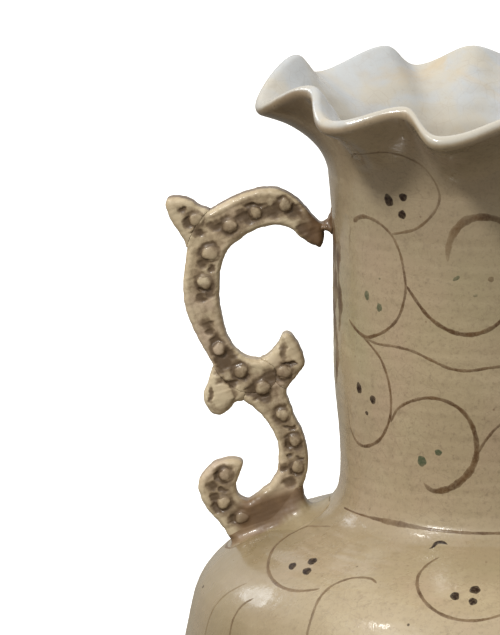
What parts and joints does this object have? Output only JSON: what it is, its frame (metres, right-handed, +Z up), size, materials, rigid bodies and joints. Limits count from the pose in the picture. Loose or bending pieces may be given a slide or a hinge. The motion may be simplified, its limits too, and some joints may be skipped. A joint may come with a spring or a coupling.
{
  "type": "ceramic pitcher",
  "caption": "Tall hand-built pitcher: globular belly, long tube neck, flared ruffled rim and a cast scroll handle, with brushed line decoration under a glossy tan glaze.",
  "frame": {"origin": "centre of the foot ring on the table", "axes": "+Z up the vessel's axis; the handle stands in the XZ plane on the -X side, and the pouring lip is on the +X side"},
  "size_m": [0.2595, 0.2536, 0.419],
  "materials": {
    "glaze_body": "glossy tan-beige glaze, fine craze, brown brushed lines and dots",
    "glaze_rim": "thick glossy off-white glaze inside and over the lip",
    "glaze_handle": "glossy cream-tan glaze, brown stain in the recesses",
    "bare_clay": "unglazed fired clay, fine matt grain"
  },
  "bodies": {
    "root": {"base_slab": "bare_clay", "foot_ring": "bare_clay", "lower_wall": "glaze_body", "shoulder": "glaze_body", "neck": "glaze_body", "ruffled_rim": "glaze_rim", "handle_upper_scroll": "glaze_handle", "handle_lower_scroll": "glaze_handle", "handle_leaf": "glaze_handle", "handle_knee_lobe": "glaze_handle", "handle_thumb_spur": "glaze_handle", "handle_foot_pad": "glaze_handle", "handle_neck_wad": "glaze_handle", "handle_pellets": "glaze_handle"}
  },
  "joints": []
}
